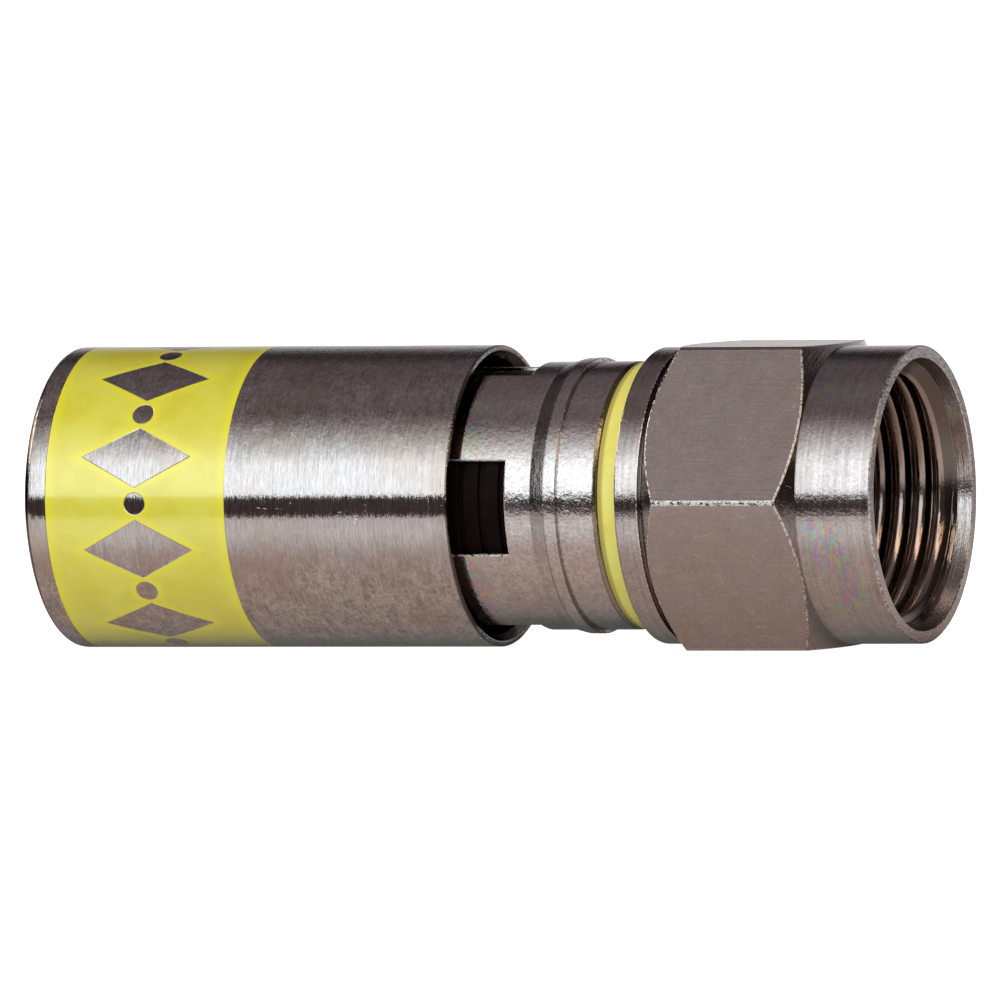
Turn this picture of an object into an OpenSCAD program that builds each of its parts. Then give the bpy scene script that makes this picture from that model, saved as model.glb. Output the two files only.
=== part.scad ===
// Compression F connector for 7 mm coaxial cable, as supplied, before the sleeve is pushed home.
// The axis is X. The origin is the centre of the post's front face, where a port seats.
// +X points out of the nut, +Z is up, and the connector lies on a flat of its hexagon.
// An outline is a list of [x, radius] points from the back to the front.

/* [Coupling nut] */
// Width across the hexagon's flats (7/16 in)
hex_af = 11.11; // [10.6:0.01:12.2]
// Length of the hexagon, chamfers included
hex_l = 6.04; // [5:0.02:7.2]
// Depth taken off the hexagon's corners
corner_break = 0.05; // [0.02:0.01:0.12]
// Angle of the rear chamfer, from the face
rear_chamfer_angle = 40; // [30:1:50]
// Angle of the front chamfer, from the face
front_chamfer_angle = 28; // [20:1:40]
// Diameter of the round barrel in front of the hexagon
barrel_d = 10.92; // [10.4:0.02:11.1]
// Diameter of the round collar behind the hexagon
collar_d = 10.9; // [10.3:0.02:11.1]
// Length of the round collar behind the hexagon
collar_l = 0.93; // [0.6:0.01:1.3]
// Width of the groove between the collar and the hexagon
nut_groove_w = 0.14; // [0.08:0.01:0.3]
// Depth of the groove between the collar and the hexagon
nut_groove_depth = 0.3; // [0.1:0.05:0.5]
// Thickness of the lip that the post's flange holds
nut_lip_t = 1.09; // [0.8:0.01:1.5]
// Depth of the port's seat behind the nut's front face
seat_depth = 6.6; // [6:0.1:8]
// Major diameter of the port's thread (3/8-32)
thread_major_d = 9.525; // [9.3:0.005:9.6]
// Bore left by the thread's crests
thread_minor_d = 8.74; // [8.6:0.01:8.9]
// Depth of the tapered mouth in front of the thread
mouth_depth = 0.55; // [0.3:0.05:1]
// Diameter of the mouth at the nut's front face
mouth_d = 10; // [9.7:0.05:10.2]
// Angle of the mouth's taper, from the axis
mouth_taper = 13; // [0:1:20]
// Angle of the step from the mouth to the thread, from the face
mouth_step_angle = 45; // [5:1:45]
// Edge break on the nut's turned edges
nut_edge = 0.08; // [0.04:0.01:0.15]

/* [Inner post] */
// Bore for the cable's inner insulation
post_bore_d = 4.9; // [4.6:0.05:5.2]
// Wall of the tail that goes under the braid
post_wall = 0.4; // [0.3:0.05:0.6]
// Height of the tail's barb
barb_h = 0.25; // [0.15:0.05:0.4]
// Length of the barb's slope
barb_l = 1.3; // [0.8:0.1:2]
// Length of the straight stretch on top of the barb
barb_land = 0.15; // [0.1:0.05:0.4]
// Diameter of the shank that the nut turns on
shank_d = 6.96; // [6.6:0.02:7.1]
// Diameter of the front flange
flange_d = 8.4; // [8.1:0.05:8.5]
// Thickness of the front flange
flange_t = 1.5; // [1.2:0.1:2]
// How far the tail's end lies inside the body's rear end
tail_inset = 1; // [0.5:0.1:3]
// Edge break on the flange and the post's bore
post_edge = 0.2; // [0.1:0.05:0.3]

/* [Post O-ring] */
// Thickness of the ring between the flange and the nut's lip
post_o_ring_t = 0.8; // [0.5:0.05:1]

/* [Nut seal ring] */
// Width of the coloured ring behind the nut
seal_w = 0.82; // [0.5:0.02:1.2]
// How far the ring's front edge stands proud of its rear edge
seal_flare = 0.14; // [0:0.02:0.3]
// How far the ring's rear edge lies below the body's surface
seal_sink = 0.03; // [0:0.01:0.1]
// Edge break on the ring
seal_edge = 0.06; // [0.02:0.01:0.1]

/* [Connector body] */
// Length of the body behind the seal ring
body_l = 12; // [11:0.1:14]
// Wall of the rear tube
tube_wall = 0.31; // [0.25:0.01:0.5]
// Height of the ridge and the rear land that guide the sleeve
ridge_h = 0.14; // [0.08:0.01:0.3]
// Length of the land in front of the ridge
front_land_l = 1.59; // [1.2:0.01:2.2]
// Width of the ridge
ridge_w = 0.48; // [0.3:0.02:0.8]
// Length of the slope behind the ridge
ridge_slope_l = 0.55; // [0.3:0.05:1]
// Chamfer on the body's front edge
body_chamfer = 0.17; // [0.08:0.01:0.3]
// Thickness of the front wall that the post is pressed into
front_wall_t = 2; // [1.6:0.1:2.6]
// Diameter of the nose that carries the seal ring
nose_d = 8.2; // [7.8:0.1:8.8]
// Depth of the step that stops the ferrule
ferrule_stop_h = 0.4; // [0.2:0.05:0.6]
// Length of the narrow stretch in front of the ferrule
ferrule_stop_l = 1.2; // [0.8:0.1:1.3]
// Number of windows round the tube
window_count = 4; // [2:1:6]
// Width of a window, as an angle
window_angle = 41; // [20:1:50]
// Length of a window
window_l = 4.2; // [3.5:0.1:4.6]
// Distance from the ridge's slope to a window
window_gap = 1.05; // [0.8:0.05:1.4]
// Turn of the windows from the level, below the near side
window_turn = 2.8; // [-20:0.1:20]
// Length of the rear land that the sleeve slides on
rear_land_l = 3; // [2:0.1:3.2]

/* [Grip ferrule] */
// Bore that the cable's jacket passes through
cable_bore_d = 8; // [7.4:0.05:8.2]
// Wall of the ferrule
ferrule_wall = 0.6; // [0.5:0.02:0.8]
// Pitch of the ferrule's grooves
ferrule_pitch = 0.8; // [0.5:0.05:1.2]
// Width of a ferrule groove
ferrule_groove_w = 0.22; // [0.1:0.02:0.3]
// Depth of a ferrule groove
ferrule_groove_depth = 0.14; // [0.05:0.01:0.25]
// Number of teeth in the ferrule's bore
tooth_count = 3; // [1:1:4]
// Pitch of the teeth
tooth_pitch = 1.1; // [0.8:0.05:1.4]
// Height of a tooth
tooth_h = 0.2; // [0.1:0.05:0.3]
// Thickness of the rim behind the body, before it slopes in
ferrule_rim_t = 0.3; // [0.2:0.05:0.6]
// Thickness of the ferrule's rear edge
ferrule_tip_t = 0.3; // [0.2:0.05:0.4]

/* [Compression sleeve] */
// Wall of the sleeve
sleeve_wall = 0.43; // [0.35:0.01:0.7]
// Length of the sleeve over the body, as supplied
sleeve_overlap = 6.33; // [5.6:0.05:7.5]
// Gap left to the body's front chamfer at the end of the stroke
stop_gap = 0.2; // [0.1:0.05:0.6]
// Angle of the ramp that squeezes the ferrule
ramp_angle = 30; // [25:1:45]
// Gap between the body's end and the ramp at the end of the stroke
ramp_gap = 0.3; // [0.25:0.05:0.8]
// Diameter of the throat behind the ramp
throat_d = 8.6; // [8.4:0.05:8.9]
// Length of the throat
throat_l = 0.96; // [0.5:0.02:1.2]
// Thickness of the rear lip round the cable
rear_lip_t = 1.5; // [1.2:0.05:2]
// Chamfer where the cable goes in
entry_chamfer = 0.4; // [0.2:0.05:0.6]
// Radius of the sleeve's rear outer edge
rear_edge_r = 0.35; // [0.15:0.05:0.5]
// Width of the flat rim round the sleeve's mouth
rim_w = 0.2; // [0.12:0.02:0.3]
// Depth of the bevel inside the sleeve's mouth
mouth_bevel_l = 0.3; // [0.15:0.05:0.6]
// Edge break on the sleeve's mouth
sleeve_edge = 0.06; // [0.03:0.01:0.1]

/* [Colour band] */
// Width of the lacquered band
band_w = 7.13; // [5:0.05:9]
// Distance of the band from the sleeve's rear end
band_inset = 0.91; // [0.6:0.05:3]
// Thickness of the lacquer, which fills a recess
band_t = 0.06; // [0.04:0.01:0.12]

/* [Cable seal] */
// Thickness of the rubber ring in the sleeve's rear end
cable_seal_t = 1; // [0.8:0.05:1.2]
// How far the rubber ring reaches into the cable's way
cable_seal_squeeze = 0.07; // [0.02:0.01:0.2]

/* [Fits] */
// Radial gap where one part turns or slides on another
running_gap = 0.05; // [0.02:0.01:0.1]
// Gap round a rubber ring and at a pressed joint
seat_gap = 0.02; // [0.01:0.005:0.04]
// Room round the thread's major diameter behind the thread
relief_gap = 0.08; // [0.05:0.01:0.2]

/* [Hidden] */
$fn = 128;
// Overrun of a cut past the surface that it opens
over = 0.5;
nickel = [0.46, 0.43, 0.42];
lacquer_yellow = [0.9, 0.88, 0.2];
seal_yellow = [0.86, 0.83, 0.42];
plastic_black = [0.06, 0.05, 0.05];
rubber_black = [0.09, 0.09, 0.09];

// Radii, from the cable's core outwards
post_bore_r = post_bore_d / 2;
tail_r = post_bore_r + post_wall;
shank_r = shank_d / 2;
flange_r = flange_d / 2;
cable_bore_r = cable_bore_d / 2;
ferrule_r = cable_bore_r + ferrule_wall;
tube_bore_r = ferrule_r + seat_gap;
body_r = tube_bore_r + tube_wall;
guide_r = body_r + ridge_h;
sleeve_bore_r = guide_r + running_gap;
sleeve_r = sleeve_bore_r + sleeve_wall;
throat_r = throat_d / 2;
nose_r = nose_d / 2;
seal_bore_r = nose_r + seat_gap;
seal_rear_r = body_r - seal_sink;
seal_front_r = seal_rear_r + seal_flare;
hex_corner_r = hex_af / 2 / cos(30);
barrel_r = barrel_d / 2;
collar_r = collar_d / 2;
thread_minor_r = thread_minor_d / 2;
relief_r = thread_major_d / 2 + relief_gap;
cable_seal_r = cable_seal_t / 2;
cable_seal_ring_r = cable_bore_r - cable_seal_squeeze + cable_seal_r;
seal_groove_r = cable_seal_ring_r + cable_seal_r + seat_gap;
post_o_ring_r = post_o_ring_t / 2;

// Places along the axis, from the nut's front face to the sleeve's rear end
nut_front_x = seat_depth;
nut_lip_x = -flange_t - post_o_ring_t - 2 * seat_gap;
nut_rear_x = nut_lip_x - nut_lip_t;
seal_front_x = nut_rear_x - running_gap;
body_front_x = seal_front_x - seal_w;
body_rear_x = body_front_x - body_l;
ridge_front_x = body_front_x - front_land_l;
ridge_rear_x = ridge_front_x - ridge_w;
slope_rear_x = ridge_rear_x - ridge_slope_l;
cavity_front_x = body_front_x - front_wall_t;
ferrule_stop_x = cavity_front_x - ferrule_stop_l;
window_front_x = slope_rear_x - window_gap;
tail_rear_x = body_rear_x + tail_inset;
sleeve_front_x = body_rear_x + sleeve_overlap;
stroke = body_front_x - body_chamfer - stop_gap - sleeve_front_x;
ramp_front_x = body_rear_x - stroke - ramp_gap;
ramp_rear_x = ramp_front_x - (sleeve_bore_r - throat_r) / tan(ramp_angle);
seal_groove_w = cable_seal_t + 2 * seat_gap;
seal_groove_x = ramp_rear_x - throat_l;
lip_front_x = seal_groove_x - seal_groove_w;
sleeve_rear_x = lip_front_x - rear_lip_t;
band_rear_x = sleeve_rear_x + band_inset;

hex_rear_x = nut_rear_x + collar_l + nut_groove_w;
hex_front_x = hex_rear_x + hex_l;

// A turned solid from its outline, closed along the axis
module lathe(outline) {
    first = outline[0];
    last = outline[len(outline) - 1];
    closed = concat([[first[0], 0]], outline, [[last[0], 0]]);
    rotate([0, 90, 0])
        rotate_extrude()
            polygon([for (point = closed) [point[1], point[0]]]);
}

// A rubber ring of round section
module o_ring(x, ring_r, section_r) {
    translate([x, 0, 0])
        rotate([0, 90, 0])
            rotate_extrude()
                translate([ring_r, 0])
                    circle(r = section_r, $fn = 48);
}

// The points of a quarter-round edge, turned about its centre by a start angle
function edge_arc(x, r, radius, from, to, steps = 6) =
    [for (i = [0 : steps]) let (a = from + (to - from) * i / steps)
        [x + radius * cos(a), r + radius * sin(a)]];

// Hexagon bar stock, corners level, with its chamfers turned at both ends
module nut_hexagon() {
    crest_r = hex_corner_r - corner_break;
    rear_run = (crest_r - collar_r) * tan(rear_chamfer_angle);
    front_run = (crest_r - barrel_r) * tan(front_chamfer_angle);
    intersection() {
        translate([hex_rear_x, 0, 0])
            rotate([0, 90, 0])
                rotate([0, 0, 30])
                    cylinder(r = hex_corner_r, h = hex_l, $fn = 6);
        lathe([
            [hex_rear_x, collar_r],
            [hex_rear_x + rear_run, crest_r],
            [hex_front_x - front_run, crest_r],
            [hex_front_x, barrel_r],
        ]);
    }
}

// Collar, groove, core and barrel of the nut, turned in one setting
module nut_turning() {
    groove_r = collar_r - nut_groove_depth;
    groove_x = hex_rear_x - nut_groove_w;
    lathe([
        [nut_rear_x, collar_r - nut_edge],
        [nut_rear_x + nut_edge, collar_r],
        [groove_x - nut_edge / 2, collar_r],
        [groove_x, collar_r - nut_edge / 2],
        [groove_x, groove_r],
        [hex_rear_x + nut_groove_w, groove_r],
        [hex_rear_x + nut_groove_w, barrel_r],
        [nut_front_x - nut_edge, barrel_r],
        [nut_front_x, barrel_r - nut_edge],
    ]);
}

// Lip bore, relief round the flange, thread bore, step and tapered mouth
module nut_bore() {
    lip_bore_r = shank_r + running_gap;
    mouth_r = mouth_d / 2;
    mouth_rear_r = mouth_r - mouth_depth * tan(mouth_taper);
    step_front_x = nut_front_x - mouth_depth;
    step_rear_x = step_front_x - (mouth_rear_r - thread_minor_r) * tan(mouth_step_angle);
    lathe([
        [nut_rear_x - over, lip_bore_r],
        [nut_lip_x, lip_bore_r],
        [nut_lip_x, relief_r],
        [0, relief_r],
        [0, thread_minor_r],
        [step_rear_x, thread_minor_r],
        [step_front_x, mouth_rear_r],
        [nut_front_x, mouth_r],
        [nut_front_x + over, mouth_r],
    ]);
}

module coupling_nut() {
    color(nickel)
        difference() {
            union() {
                nut_hexagon();
                nut_turning();
            }
            nut_bore();
        }
}

module inner_post() {
    barb_r = tail_r + barb_h;
    tip_r = post_bore_r + post_wall / 2;
    color(nickel)
        difference() {
            lathe([
                [tail_rear_x, tip_r],
                [tail_rear_x + barb_l, barb_r],
                [tail_rear_x + barb_l + barb_land, barb_r],
                [tail_rear_x + barb_l + barb_land, tail_r],
                [cavity_front_x, tail_r],
                [cavity_front_x, shank_r],
                [-flange_t, shank_r],
                [-flange_t, flange_r],
                [-post_edge, flange_r],
                [0, flange_r - post_edge],
            ]);
            lathe([
                [tail_rear_x - over, post_bore_r],
                [-post_edge, post_bore_r],
                [over, post_bore_r + post_edge + over],
            ]);
        }
}

module post_o_ring() {
    color(rubber_black)
        o_ring(-flange_t - seat_gap - post_o_ring_r, shank_r + seat_gap + post_o_ring_r, post_o_ring_r);
}

module nut_seal_ring() {
    color(seal_yellow)
        difference() {
            lathe([
                [body_front_x, seal_rear_r - seal_edge],
                [body_front_x + seal_edge, seal_rear_r],
                [seal_front_x - seal_edge, seal_front_r],
                [seal_front_x, seal_front_r - seal_edge],
            ]);
            lathe([
                [body_front_x - over, seal_bore_r],
                [seal_front_x + over, seal_bore_r],
            ]);
        }
}

// Nose, front land, ridge with its slope, window stretch and rear land
module body_turning() {
    nose_front_x = seal_front_x - seat_gap;
    land_front_x = body_rear_x + rear_land_l;
    land_edge = ridge_h;
    lathe([
        [body_rear_x, guide_r - land_edge],
        [body_rear_x + land_edge, guide_r],
        [land_front_x - land_edge, guide_r],
        [land_front_x, body_r],
        [slope_rear_x, body_r],
        [ridge_rear_x, guide_r],
        [ridge_front_x, guide_r],
        [ridge_front_x, body_r],
        [body_front_x - body_chamfer, body_r],
        [body_front_x, body_r - body_chamfer],
        [body_front_x, nose_r],
        [nose_front_x, nose_r],
    ]);
}

// One window, a wedge that opens outwards from the axis
module window_cut() {
    reach = 2 * body_r;
    half_w = reach * tan(window_angle / 2);
    translate([window_front_x - window_l, 0, 0])
        rotate([90, 0, 90])
            linear_extrude(window_l)
                polygon([[0, 0], [-reach, half_w], [-reach, -half_w]]);
}

module connector_body() {
    press_r = shank_r + seat_gap;
    stop_r = tube_bore_r - ferrule_stop_h;
    color(nickel)
        difference() {
            body_turning();
            lathe([
                [body_rear_x - over, tube_bore_r],
                [ferrule_stop_x, tube_bore_r],
                [ferrule_stop_x, stop_r],
                [cavity_front_x, stop_r],
                [cavity_front_x, press_r],
                [body_front_x + seal_w + over, press_r],
            ]);
            for (i = [0 : window_count - 1])
                rotate([window_turn + i * 360 / window_count, 0, 0])
                    window_cut();
        }
}

// Plastic ferrule in the tube: grooves outside, teeth inside, a sloped rim behind the tube
module grip_ferrule() {
    front_x = ferrule_stop_x - seat_gap;
    rim_x = body_rear_x - seat_gap;
    slope_x = rim_x - ferrule_rim_t;
    tip_r = cable_bore_r + ferrule_tip_t;
    tip_x = slope_x - (body_r - tip_r) / tan(ramp_angle);
    groove_r = ferrule_r - ferrule_groove_depth;
    grooved_l = front_x - (body_rear_x + rear_land_l);
    groove_count = floor(grooved_l / ferrule_pitch);
    teeth_x = tail_rear_x + barb_l;
    color(plastic_black)
        difference() {
            lathe([
                [tip_x, tip_r],
                [slope_x, body_r],
                [rim_x, body_r],
                [rim_x, ferrule_r],
                [front_x, ferrule_r],
            ]);
            for (i = [1 : groove_count])
                translate([front_x - i * ferrule_pitch, 0, 0])
                    difference() {
                        lathe([[0, body_r], [ferrule_groove_w, body_r]]);
                        lathe([[-over, groove_r], [ferrule_groove_w + over, groove_r]]);
                    }
            difference() {
                lathe([
                    [tip_x - over, cable_bore_r],
                    [front_x + over, cable_bore_r],
                ]);
                for (i = [0 : tooth_count - 1])
                    translate([teeth_x + i * tooth_pitch, 0, 0])
                        ferrule_tooth();
            }
        }
}

// A saw tooth ring that lets the cable in and holds it back
module ferrule_tooth() {
    difference() {
        lathe([[0, cable_bore_r + over], [2 * tooth_h, cable_bore_r + over]]);
        lathe([
            [-tooth_h, cable_bore_r],
            [0, cable_bore_r],
            [2 * tooth_h, cable_bore_r - tooth_h],
            [2 * tooth_h + over, cable_bore_r - tooth_h],
        ]);
    }
}

module sleeve_outside() {
    band_r = sleeve_r - band_t;
    band_front_x = band_rear_x + band_w;
    lathe(concat(
        edge_arc(sleeve_rear_x + rear_edge_r, sleeve_r - rear_edge_r, rear_edge_r, 180, 90),
        [
            [band_rear_x, sleeve_r],
            [band_rear_x, band_r],
            [band_front_x, band_r],
            [band_front_x, sleeve_r],
            [sleeve_front_x - sleeve_edge, sleeve_r],
            [sleeve_front_x, sleeve_r - sleeve_edge],
        ]));
}

// Cable entry, seal groove, throat, ramp, sliding bore and bevelled mouth
module sleeve_inside() {
    mouth_r = sleeve_r - rim_w;
    lathe([
        [sleeve_rear_x - over, cable_bore_r + entry_chamfer + over],
        [sleeve_rear_x + entry_chamfer, cable_bore_r],
        [lip_front_x, cable_bore_r],
        [lip_front_x, seal_groove_r],
        [seal_groove_x, seal_groove_r],
        [seal_groove_x, throat_r],
        [ramp_rear_x, throat_r],
        [ramp_front_x, sleeve_bore_r],
        [sleeve_front_x - mouth_bevel_l, sleeve_bore_r],
        [sleeve_front_x, mouth_r],
        [sleeve_front_x + over, mouth_r],
    ]);
}

module compression_sleeve() {
    color(nickel)
        difference() {
            sleeve_outside();
            sleeve_inside();
        }
}

module colour_band() {
    color(lacquer_yellow)
        difference() {
            lathe([[band_rear_x, sleeve_r], [band_rear_x + band_w, sleeve_r]]);
            lathe([
                [band_rear_x - over, sleeve_r - band_t],
                [band_rear_x + band_w + over, sleeve_r - band_t],
            ]);
        }
}

module cable_seal() {
    color(rubber_black)
        o_ring(seal_groove_x - seal_groove_w / 2, cable_seal_ring_r, cable_seal_r);
}

coupling_nut();
inner_post();
post_o_ring();
nut_seal_ring();
connector_body();
grip_ferrule();
compression_sleeve();
colour_band();
cable_seal();
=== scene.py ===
import math

import bmesh
import bpy
from mathutils import Matrix, Vector


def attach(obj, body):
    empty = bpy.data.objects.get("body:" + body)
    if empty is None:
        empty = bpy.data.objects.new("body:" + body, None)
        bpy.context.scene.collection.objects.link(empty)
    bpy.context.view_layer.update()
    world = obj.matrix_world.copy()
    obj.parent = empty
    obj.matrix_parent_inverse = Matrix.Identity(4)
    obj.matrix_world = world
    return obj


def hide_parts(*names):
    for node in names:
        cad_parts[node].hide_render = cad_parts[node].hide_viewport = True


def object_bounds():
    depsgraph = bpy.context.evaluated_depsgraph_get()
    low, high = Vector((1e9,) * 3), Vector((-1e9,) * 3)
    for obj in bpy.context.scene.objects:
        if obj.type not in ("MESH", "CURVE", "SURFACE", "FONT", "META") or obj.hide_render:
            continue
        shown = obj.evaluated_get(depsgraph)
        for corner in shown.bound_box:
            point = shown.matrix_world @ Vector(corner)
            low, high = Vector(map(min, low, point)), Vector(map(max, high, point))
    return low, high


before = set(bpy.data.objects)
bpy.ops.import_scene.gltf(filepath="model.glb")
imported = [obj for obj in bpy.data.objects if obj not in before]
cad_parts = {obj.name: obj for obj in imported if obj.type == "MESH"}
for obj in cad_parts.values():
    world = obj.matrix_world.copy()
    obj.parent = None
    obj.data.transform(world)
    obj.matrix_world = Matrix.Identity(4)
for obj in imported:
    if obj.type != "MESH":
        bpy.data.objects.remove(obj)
cadLow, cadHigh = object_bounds()
mm = 0.001  # sizes are in millimetres, as in the part's source, and the scene is in metres
print("frame loaded:", len(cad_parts), "pieces")

camera = {
    "turn": 22.0,  # degrees towards the nut's mouth
    "height": 2.7,  # degrees above the level
    "distance": 1000.0,
    "aim": (6.6, 0.0, 0.0),  # a point of the part, and where it falls in the picture:
    "aimRight": 15.467,
    "aimUp": 0.204,
    "lens": 985.4,
    "roll": 0.17,  # degrees, the nut's end up in the picture
    "clip": (0.01, 20.0),  # in metres
}


def placeCamera():
    # but for the roll, the part's axis is level in the picture
    turn, height, roll = (math.radians(camera[angle]) for angle in ("turn", "height", "roll"))
    level = Vector((math.cos(turn), math.sin(turn) * math.cos(height), -math.sin(turn) * math.sin(height)))
    upright = Vector((0, math.sin(height), math.cos(height)))
    right = math.cos(roll) * level - math.sin(roll) * upright
    up = math.sin(roll) * level + math.cos(roll) * upright
    back = right.cross(up)
    lens = bpy.data.cameras.new("Camera")
    lens.lens = camera["lens"]
    lens.clip_start, lens.clip_end = camera["clip"]
    eye = bpy.data.objects.new("Camera", lens)
    bpy.context.collection.objects.link(eye)
    eye.location = mm * (
        Vector(camera["aim"])
        - camera["aimRight"] * right
        - camera["aimUp"] * up
        + camera["distance"] * back
    )
    eye.rotation_mode = "QUATERNION"
    eye.rotation_quaternion = Matrix((right, up, back)).transposed().to_quaternion()
    bpy.context.scene.camera = eye


placeCamera()
bpy.context.scene.view_settings.view_transform = "Standard"


class Value:
    # the output of a node, so that shader maths reads as Python
    def __init__(self, nodes, socket):
        self.nodes, self.socket = nodes, socket

    def maths(self, operation, *values):
        return self.nodes.add("Math", {"operation": operation}, dict(enumerate(values)))

    def __add__(self, other):
        return self.maths("ADD", self, other)

    def __radd__(self, other):
        return self.maths("ADD", other, self)

    def __sub__(self, other):
        return self.maths("SUBTRACT", self, other)

    def __rsub__(self, other):
        return self.maths("SUBTRACT", other, self)

    def __mul__(self, other):
        return self.maths("MULTIPLY", self, other)

    def __rmul__(self, other):
        return self.maths("MULTIPLY", other, self)

    def __neg__(self):
        return self.maths("MULTIPLY", self, -1)

    def __abs__(self):
        return self.maths("ABSOLUTE", self)

    def ramp(self, low, high):
        # 0 below low, 1 above high, smooth between
        return self.nodes.add(
            "MapRange",
            {"interpolation_type": "SMOOTHSTEP"},
            {"Value": self, "From Min": low, "From Max": high},
        )


class Nodes:
    def __init__(self, tree):
        self.tree = tree
        tree.nodes.clear()

    def add(self, kind, settings, sockets, output=0):
        node = self.tree.nodes.new("ShaderNode" + kind)
        for name, setting in settings.items():
            if name == "stops":
                stops = node.color_ramp.elements
                stops.remove(stops[1])
                stops[0].position, stops[0].color = setting[0][0], (*setting[0][1], 1)
                for position, colour in setting[1:]:
                    stops.new(position).color = (*colour, 1)
            else:
                setattr(node, name, setting)
        for name, value in sockets.items():
            if isinstance(value, Value):
                self.tree.links.new(value.socket, node.inputs[name])
            else:
                node.inputs[name].default_value = value
        return Value(self, node.outputs[output]) if node.outputs else node

    def mix(self, share, first, second):
        return self.add("Mix", {"data_type": "RGBA"}, {0: share, 6: first, 7: second}, output=2)

    def axis(self, letter):
        # how far a place on the object is along X, Y or Z, in metres
        place = self.add("TexCoord", {}, {}, output="Object")
        return self.add("SeparateXYZ", {}, {"Vector": place}, output=letter)

    def noise(self, along, across, detail=3.0, rough=0.55, shift=0.0):
        # spots per millimetre along the axis and across it
        place = self.add(
            "Mapping",
            {},
            {
                "Vector": self.add("TexCoord", {}, {}, output="Object"),
                "Location": (shift, shift, -shift),
                "Scale": (along / mm, across / mm, across / mm),
            },
        )
        return self.add(
            "TexNoise", {}, {"Vector": place, "Scale": 1.0, "Detail": detail, "Roughness": rough}
        )


def newFinish(name):
    material = bpy.data.materials.new(name)
    material.use_nodes = True
    return material, Nodes(material.node_tree)


narrowEdge = 0.13  # a turned face narrower than this is an edge
edgeWearShade = 0.15  # how worn such an edge is, from 0 to 1; at this value the edge mostly gets painted shade, and a painted glint here and there
wideRounding = 0.1  # a rounding wider than this has eight segments, and any other has two
sharpAngle = 13.5  # degrees between two faces, from which the edge between them is sharp
mergeDistance = 0.001  # corners nearer to each other than this become one


def radial(angle):
    # angle 0 is the side that faces the camera, and 90 is the top
    return Vector((0, -math.cos(math.radians(angle)), math.sin(math.radians(angle))))


def drawOutline(shape, outline, start, closed):
    # outline is a row of (x, radius) or (x, radius, rounding) corners
    direction = radial(start)
    corners = []
    for corner in outline:
        corners.append(shape.verts.new(mm * (Vector((corner[0], 0, 0)) + corner[1] * direction)))
    for here, there in zip(corners, corners[1:] + corners[:1] if closed else corners[1:]):
        shape.edges.new((here, there))
    roundings = [corner[2] if len(corner) > 2 else 0.0 for corner in outline]
    for rounding in sorted(set(roundings) - {0.0}):
        bmesh.ops.bevel(
            shape,
            geom=[vert for vert, own in zip(corners, roundings) if own == rounding],
            offset=rounding * mm,
            segments=8 if rounding > wideRounding else 2,
            profile=0.5,
            affect="VERTICES",
            material=-1,
        )


def turned(outline, steps=256, start=0.0, closed=True):
    shape = bmesh.new()
    drawOutline(shape, outline, start, closed)
    bmesh.ops.spin(
        shape,
        geom=shape.verts[:] + shape.edges[:],
        cent=(0, 0, 0),
        axis=(1, 0, 0),
        angle=math.tau,
        steps=steps,
        use_merge=True,
    )
    bmesh.ops.recalc_face_normals(shape, faces=shape.faces)
    wear = shape.faces.layers.float.new("wear")
    for face in shape.faces:
        along = [vert.co.x for vert in face.verts]
        out = [vert.co.yz.length for vert in face.verts]
        narrow = max(along) - min(along) + max(out) - min(out) < narrowEdge * mm
        face[wear] = edgeWearShade if narrow else 0.0
    return shape


def markWearShadeGlint(shape, low, high, wornGlint):
    # the turned edges between low and high along the axis get another wear; a high one also paints glints
    # on them, a low one painted shade
    wear = shape.faces.layers.float["wear"]
    for face in shape.faces:
        if face[wear] and low * mm < face.calc_center_median().x < high * mm:
            face[wear] = wornGlint


def softenEdges(shape, edges, width, segments=2, wornGlint=1.0, profile=0.5):
    # the new faces are marked with how worn they are, which also paints glints on them
    wear = shape.faces.layers.float["wear"]
    softened = bmesh.ops.bevel(
        shape,
        geom=edges,
        offset=width * mm,
        segments=segments,
        profile=profile,
        affect="EDGES",
        material=-1,
        clamp_overlap=True,
    )
    for face in softened["faces"]:
        face[wear] = wornGlint


def ringOf(x, ringRadius, sectionRadius):
    # a rubber ring of round section
    section = []
    for i in range(32):
        angle = math.tau * i / 32
        section.append((x + sectionRadius * math.cos(angle), ringRadius + sectionRadius * math.sin(angle)))
    return turned(section, steps=160)


def makePiece(name, shape, finish, node, body):
    # every face looks outwards
    if shape.calc_volume(signed=True) < 0:
        bmesh.ops.reverse_faces(shape, faces=shape.faces)
    mesh = bpy.data.meshes.new(name)
    shape.to_mesh(mesh)
    shape.free()
    mesh.shade_smooth()
    mesh.set_sharp_from_angle(angle=math.radians(sharpAngle))
    mesh.materials.append(finish)
    piece = bpy.data.objects.new(name, mesh)
    bpy.context.collection.objects.link(piece)
    flat = piece.modifiers.new("Flat faces stay flat", "WEIGHTED_NORMAL")
    flat.keep_sharp = True
    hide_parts(node)
    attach(piece, body)
    print(f"{name}: {len(mesh.polygons)} faces")


filmRadius = 5.46  # of the barrel, which shows most of the film
polishFades = (1.0, 3.2)  # how far above or below the axis a sleeve's polish begins and ends to fade
spotsPerMm = {  # along the axis and across it
    "combing": (17.0, 2.0),
    "stains": (0.35, 0.35),
    "milling": (0.8, 13.0),
    "scratches": (0.5, 0.8),
}
nickelTints = {
    "stain": (0.44, 0.34, 0.28, 1),
    "cutBelowShaded": (0.38, 0.315, 0.29, 1),  # the milled flats below and above the axis, painted shade below and painted light above
    "cutAboveLit": (0.52, 0.38, 0.32, 1),
    "copper": (0.85, 0.70, 0.60, 1),
    # painted shade that dulls the narrow turned edges
    "edgeShade": (0.12, 0.09, 0.075, 1),
    # wear that also paints a glint on worn edges
    "wornGlint": (0.95, 0.88, 0.82, 1),
    "scratch": (0.9, 0.84, 0.78, 1),
}


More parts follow.
